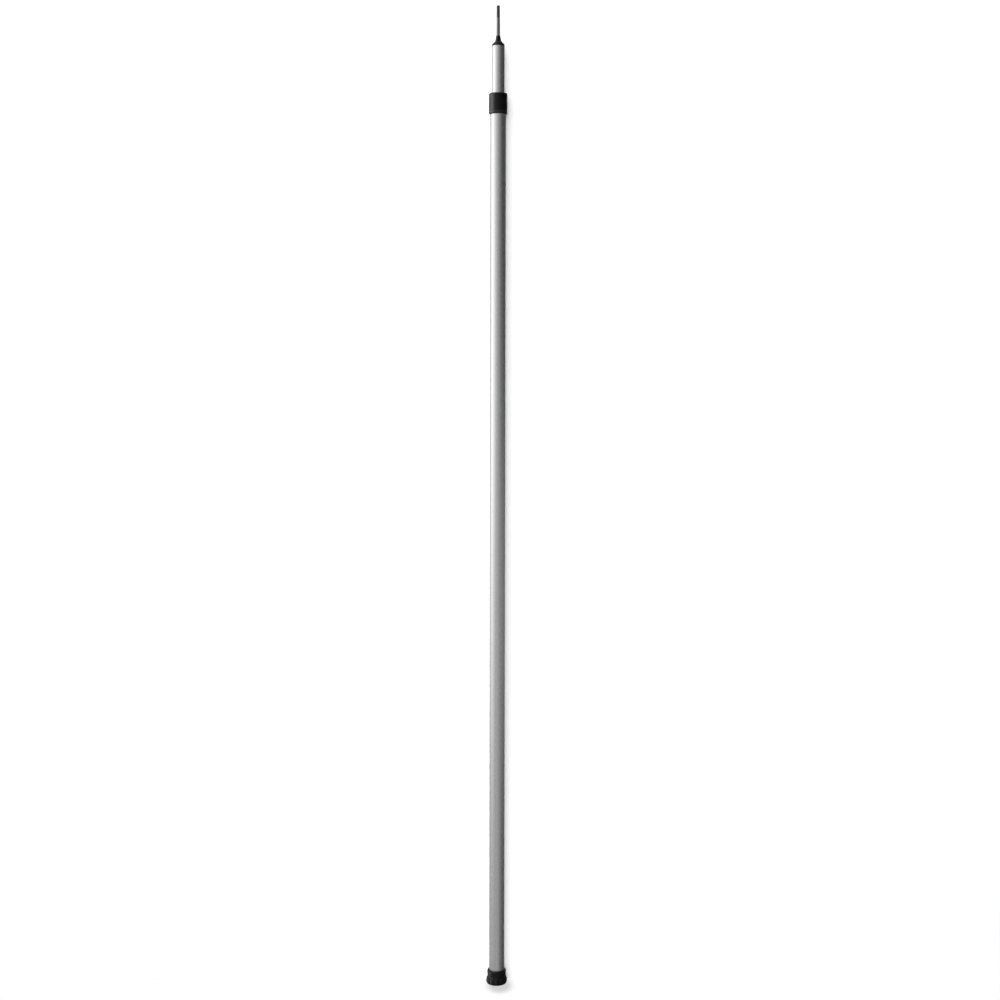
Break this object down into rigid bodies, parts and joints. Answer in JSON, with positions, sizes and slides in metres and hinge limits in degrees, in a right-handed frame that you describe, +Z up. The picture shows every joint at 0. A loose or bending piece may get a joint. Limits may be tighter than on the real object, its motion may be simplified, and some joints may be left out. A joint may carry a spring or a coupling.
{
  "type": "telescopic upright pole",
  "caption": "Straight telescopic aluminium upright with an inner twist lock, a guide collar, a spike on a flared cone tip and a lobed rubber foot.",
  "frame": {"origin": "centre of the rubber foot's face on the ground, on the pole's axis", "axes": "+Z up along the pole towards the spike; the twist lock's thread axis is Z; X runs along the lock plug's spring pin"},
  "size_m": [0.0362, 0.0362, 1.672],
  "materials": {
    "tube": "drawn and clear anodised, satin",
    "black_plastic": "moulded, satin",
    "rubber": "moulded, dull",
    "acetal": "moulded, semi-gloss",
    "grey_plastic": "glass-filled nylon, matt",
    "steel": "zinc plated, satin"
  },
  "bodies": {
    "outer_pole": {"outer_tube": "tube", "collar": "black_plastic", "guide_bush": "acetal", "foot": "rubber", "foot_washer": "steel"},
    "lock_carriage": {"expander_sleeve": "grey_plastic", "drag_ring": "rubber"},
    "lock_wedge": {"wedge_nut": "acetal"},
    "inner_pole": {"inner_tube": "tube", "tip_plug": "black_plastic", "spike": "steel", "lock_plug": "grey_plastic", "lock_stud": "steel", "thrust_washer": "acetal", "stop_washer": "steel", "snap_ring": "steel", "plug_spring_pin": "steel"}
  },
  "joints": [
    {"name": "extend", "type": "slide", "parent": "outer_pole", "child": "lock_carriage", "axis": [0, 0, 1], "range_m": [0, 1.399]},
    {"name": "twist", "type": "hinge", "parent": "lock_carriage", "child": "inner_pole", "pos_m": [0, 0, 0.049], "axis": [0, 0, 1], "range_deg": [-360, 0]},
    {"name": "wedge_draw", "type": "slide", "parent": "lock_carriage", "child": "lock_wedge", "axis": [0, 0, 1], "range_m": [0, 0.0031]}
  ],
  "couplings": [
    {"joint": "wedge_draw", "follows": "twist", "m_per_rad": -0.00047746}
  ]
}
